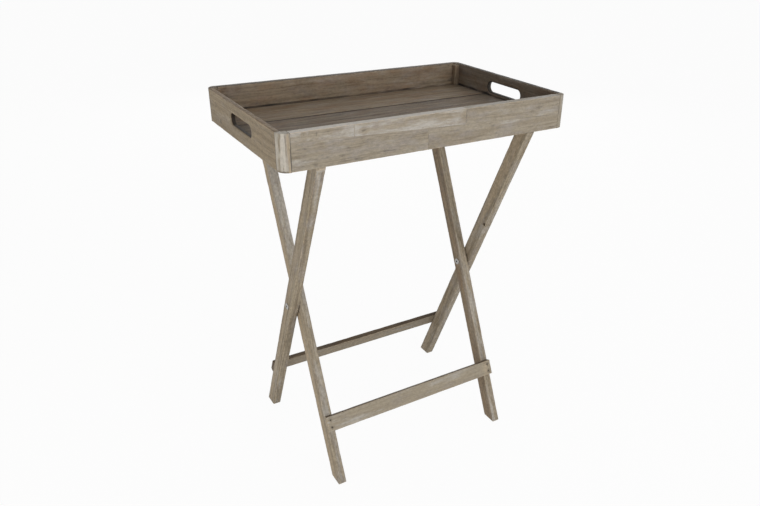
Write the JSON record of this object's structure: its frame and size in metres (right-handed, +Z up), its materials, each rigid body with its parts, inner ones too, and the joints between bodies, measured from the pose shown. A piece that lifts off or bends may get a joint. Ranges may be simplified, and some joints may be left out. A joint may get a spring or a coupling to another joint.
{
  "type": "butlers tray table",
  "caption": "Weathered wooden butler's tray with hand-hold slots and rounded corner posts, resting on a folding X-frame stand with nailed stretchers.",
  "frame": {"origin": "on the floor, under the middle of the table", "axes": "+X along the tray to its right end, +Y from the front to the back, +Z up"},
  "size_m": [0.6, 0.38, 0.775],
  "materials": {
    "wall_wood": "weathered grey wash",
    "floor_wood": "weathered grey wash",
    "stand_wood": "weathered grey wash",
    "bolt_steel": "bright zinc",
    "nail_iron": "dull, dark"
  },
  "bodies": {
    "inner_frame": {"left_inner_leg": "stand_wood", "right_inner_leg": "stand_wood", "front_stretcher": "stand_wood", "front_stretcher_nails": "nail_iron", "rear_top_rail": "stand_wood", "rear_top_rail_screws": "bolt_steel", "left_pivot_bolt": "bolt_steel", "left_pivot_nut": "bolt_steel", "left_pivot_washer": "bolt_steel", "right_pivot_bolt": "bolt_steel", "right_pivot_nut": "bolt_steel", "right_pivot_washer": "bolt_steel"},
    "outer_frame": {"left_outer_leg": "stand_wood", "right_outer_leg": "stand_wood", "rear_stretcher": "stand_wood", "rear_stretcher_nails": "nail_iron", "front_top_rail": "stand_wood", "front_top_rail_screws": "bolt_steel"},
    "tray": {"front_rail": "wall_wood", "back_rail": "wall_wood", "left_end_board": "wall_wood", "right_end_board": "wall_wood", "front_left_post": "wall_wood", "front_right_post": "wall_wood", "back_left_post": "wall_wood", "back_right_post": "wall_wood", "front_left_block": "floor_wood", "front_right_block": "floor_wood", "back_left_block": "floor_wood", "back_right_block": "floor_wood", "floor_board_front": "floor_wood", "floor_board_middle": "floor_wood", "floor_board_back": "floor_wood", "left_floor_cleat": "floor_wood", "right_floor_cleat": "floor_wood", "floor_batten": "floor_wood", "floor_screws": "bolt_steel"}
  },
  "joints": [
    {"name": "tray_lift", "type": "slide", "parent": "inner_frame", "child": "tray", "axis": [0, 0, 1], "range_m": [0, 0.3036]},
    {"name": "stand_fold", "type": "hinge", "parent": "inner_frame", "child": "outer_frame", "pos_m": [0, 0, 0.353], "axis": [-1, 0, 0], "range_deg": [0, 43.5]}
  ],
  "couplings": [
    {"joint": "stand_fold", "follows": "tray_lift", "rad_per_m": 2.5}
  ]
}
